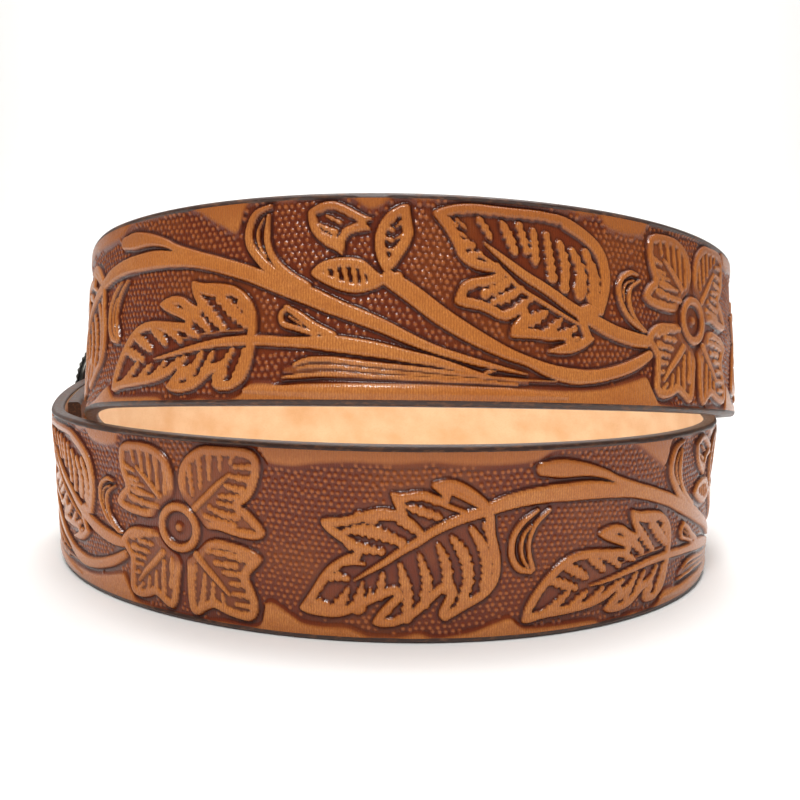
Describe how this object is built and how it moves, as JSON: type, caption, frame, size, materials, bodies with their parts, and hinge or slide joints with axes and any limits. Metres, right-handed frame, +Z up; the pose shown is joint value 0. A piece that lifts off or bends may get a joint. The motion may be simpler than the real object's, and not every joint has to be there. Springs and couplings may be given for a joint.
{
  "type": "western tooled belt",
  "caption": "Coiled western leather belt standing on edge, strap with floral tooling, metal buckle frame with prong, snapped fold and a pointed tip with punched holes.",
  "frame": {"origin": "middle of the coil's footprint, on the surface that it stands on", "axes": "+Z up, -Y towards the front that the picture shows, +X to the right seen from the front"},
  "size_m": [0.1874, 0.1826, 0.0835],
  "materials": {
    "tooled_leather": "glossy, two-tone antiqued",
    "antique_metal": "antiqued, satin",
    "snap_metal": "antiqued, satin"
  },
  "bodies": {
    "belt": {"strap": "tooled_leather", "buckle_frame": "antique_metal", "snap_lower": "snap_metal", "snap_upper": "snap_metal"},
    "prong": {"prong": "antique_metal"}
  },
  "joints": [
    {"name": "prong_hinge", "type": "hinge", "parent": "belt", "child": "prong", "pos_m": [-0.08034, 0.0232, 0.027], "axis": [0, 0, 1], "range_deg": [0, 85]}
  ]
}
